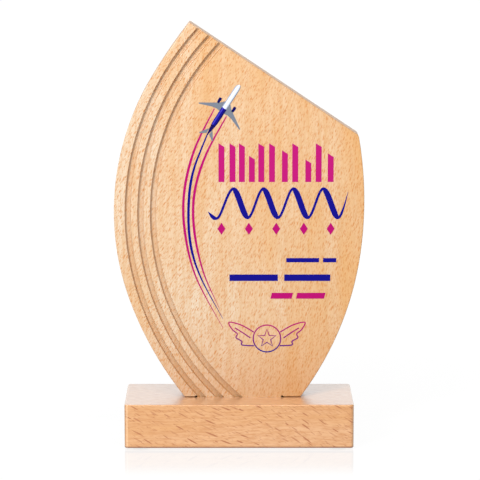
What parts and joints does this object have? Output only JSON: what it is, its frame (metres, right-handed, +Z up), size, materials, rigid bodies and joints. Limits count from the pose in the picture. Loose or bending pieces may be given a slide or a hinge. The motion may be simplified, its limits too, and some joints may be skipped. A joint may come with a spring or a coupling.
{
  "type": "wooden award plaque",
  "caption": "Free-standing beech award: a leaf-shaped panel with a slanted top and curved grooves, tongued into a rectangular base with felt pads.",
  "frame": {"origin": "on the table, below the centre of the whole object's box, which is the middle of the base", "axes": "+Z up along the panel's height, +Y from the front to the back through the panel's thickness, +X to the right seen from the front"},
  "size_m": [0.1736, 0.063, 0.2948],
  "materials": {
    "beech_panel": "satin lacquer",
    "beech_base": "gloss lacquer",
    "zinc_plated_steel": "bright zinc",
    "wool_felt": "matte felt",
    "print_ink": "cured print ink"
  },
  "bodies": {
    "root": {"award_panel": "beech_panel", "base_block": "beech_base", "panel_screw_left": "zinc_plated_steel", "panel_screw_right": "zinc_plated_steel", "felt_pad_front_left": "wool_felt", "felt_pad_front_right": "wool_felt", "felt_pad_back_left": "wool_felt", "felt_pad_back_right": "wool_felt"}
  },
  "joints": []
}
